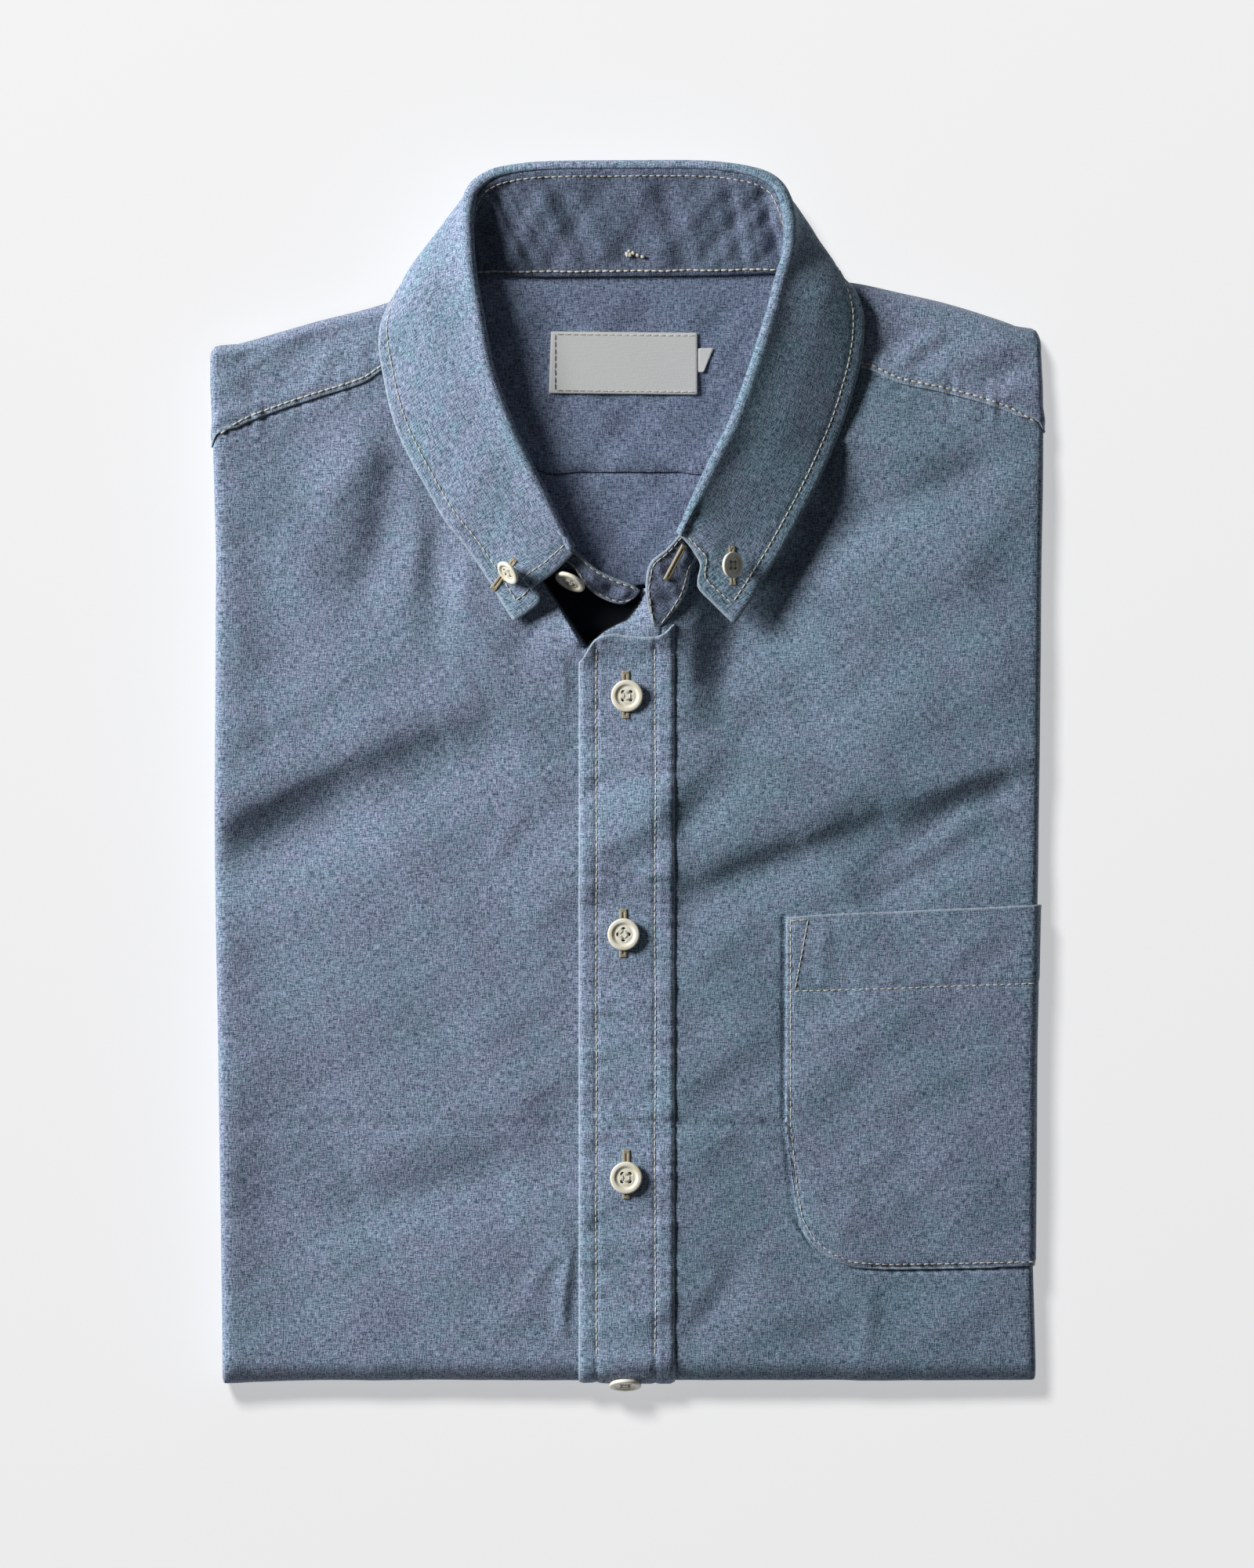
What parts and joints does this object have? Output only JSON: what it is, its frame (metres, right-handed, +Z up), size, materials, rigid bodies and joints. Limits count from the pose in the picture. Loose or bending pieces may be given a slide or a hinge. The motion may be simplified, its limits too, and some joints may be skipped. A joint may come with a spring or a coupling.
{
  "type": "folded button-down shirt",
  "caption": "Folded long chambray button-down shirt lying face up, with a rolled collar, buttoned placket and chest pocket.",
  "frame": {"origin": "centre of the bounding box's foot, on the surface that the shirt lies on", "axes": "+Z up out of the shirt's face, +Y towards the collar, +X towards the wearer's left, where the pocket is"},
  "size_m": [0.2976, 0.4409, 0.0297],
  "materials": {
    "chambray": "matte washed blue-grey chambray with a fine slubbed weave",
    "chambray_inside": "matte inner face of the chambray, darker and bluer",
    "button_ivory": "ivory, softly glossy",
    "label_cloth": "matte off-white woven tape"
  },
  "bodies": {
    "root": {"front_right": "chambray", "front_left": "chambray", "placket": "chambray", "pocket": "chambray", "yoke_shoulder_right": "chambray", "yoke_shoulder_left": "chambray", "collar_leaf": "chambray", "folded_core": "chambray", "yoke_inner": "chambray_inside", "back_inside": "chambray_inside", "collar_stand": "chambray_inside", "placket_button_1": "button_ivory", "placket_button_2": "button_ivory", "placket_button_3": "button_ivory", "placket_button_4": "button_ivory", "stand_button": "button_ivory", "collar_button_right": "button_ivory", "collar_button_left": "button_ivory", "label": "label_cloth", "size_tab": "label_cloth"}
  },
  "joints": []
}
